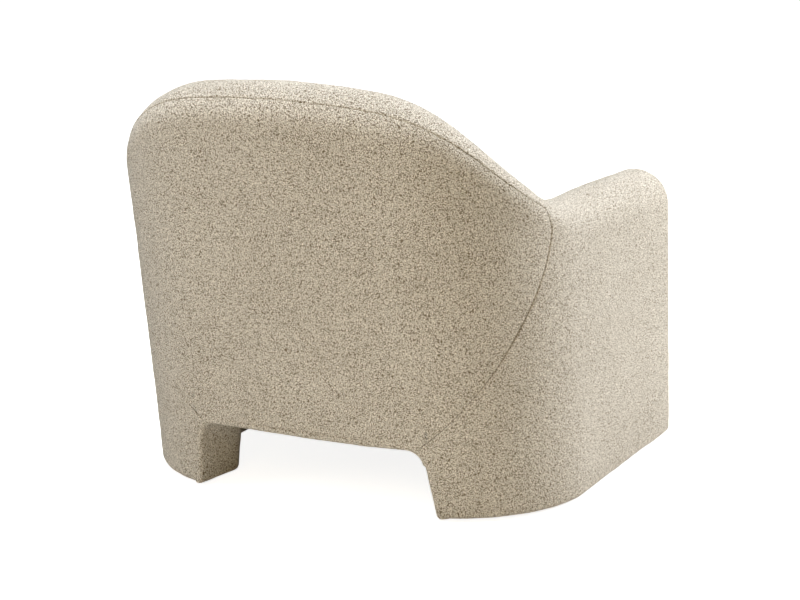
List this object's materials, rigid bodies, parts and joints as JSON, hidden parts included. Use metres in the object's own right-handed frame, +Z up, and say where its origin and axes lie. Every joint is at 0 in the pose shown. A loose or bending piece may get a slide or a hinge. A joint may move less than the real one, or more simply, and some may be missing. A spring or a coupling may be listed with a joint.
{
  "type": "upholstered armchair",
  "caption": "Low upholstered barrel armchair with a raked wrap-around back, level arms that reach the floor, an arch under the back and a loose seat cushion that lifts out.",
  "frame": {"origin": "on the floor under the middle of the overall box", "axes": "+Z up, the chair faces -Y, +X is the sitter's left arm"},
  "size_m": [0.8, 0.83, 0.738],
  "materials": {
    "boucle": "warm beige looped pile",
    "foam": "open-cell foam with wadding",
    "felt": "grey needled felt",
    "deck_cloth": "plain woven lining",
    "dust_cloth": "black non-woven cloth",
    "fibreboard": "raw hardboard",
    "plywood": "raw birch plywood",
    "hardwood": "raw planed hardwood",
    "steel": "zinc plated",
    "nylon": "dark moulded nylon",
    "webbing": "elastic woven webbing",
    "zip_tape": "woven zip tape with moulded teeth",
    "zip_metal": "die-cast, plated"
  },
  "bodies": {
    "chair": {"arm_board_left": "fibreboard", "arm_board_right": "fibreboard", "arm_bolts": "steel", "arm_cover_left": "boucle", "arm_cover_right": "boucle", "arm_foam_left": "foam", "arm_foam_right": "foam", "arm_front_post_left": "hardwood", "arm_front_post_right": "hardwood", "arm_nuts": "steel", "arm_studs_left": "hardwood", "arm_studs_right": "hardwood", "arm_top_plate_left": "plywood", "arm_top_plate_right": "plywood", "back_board": "fibreboard", "back_foam": "foam", "back_lower_rail": "plywood", "back_ribs": "plywood", "back_top_band": "boucle", "back_top_rail": "plywood", "back_webbing": "webbing", "base_plate_left": "plywood", "base_plate_right": "plywood", "block_screws": "steel", "corner_ribs_left": "plywood", "corner_ribs_right": "plywood", "deck_cloth": "deck_cloth", "deck_pad": "felt", "dust_cover": "dust_cloth", "front_border_cover": "boucle", "front_border_pad": "foam", "glides": "nylon", "inside_back_cover": "boucle", "outside_back_cover": "boucle", "rear_post_left": "hardwood", "rear_post_right": "hardwood", "seat_corner_blocks": "hardwood", "seat_corner_rail_left": "hardwood", "seat_corner_rail_right": "hardwood", "seat_front_rail": "hardwood", "seat_rear_rail": "hardwood", "seat_side_rail_left": "hardwood", "seat_side_rail_right": "hardwood", "seat_springs": "steel", "spring_clips": "steel", "spring_tie_rods": "steel"},
    "seat_cushion": {"cushion_cover": "boucle", "cushion_foam": "foam", "cushion_zip_tapes": "zip_tape"},
    "zip_slider": {"cushion_zip_slider": "zip_metal"}
  },
  "joints": [
    {"name": "cushion_lift", "type": "slide", "parent": "chair", "child": "seat_cushion", "axis": [0, 0, 1], "range_m": [0, 0.3]},
    {"name": "zip_slide", "type": "slide", "parent": "seat_cushion", "child": "zip_slider", "axis": [-1, 0, 0], "range_m": [0, 0.22]}
  ]
}
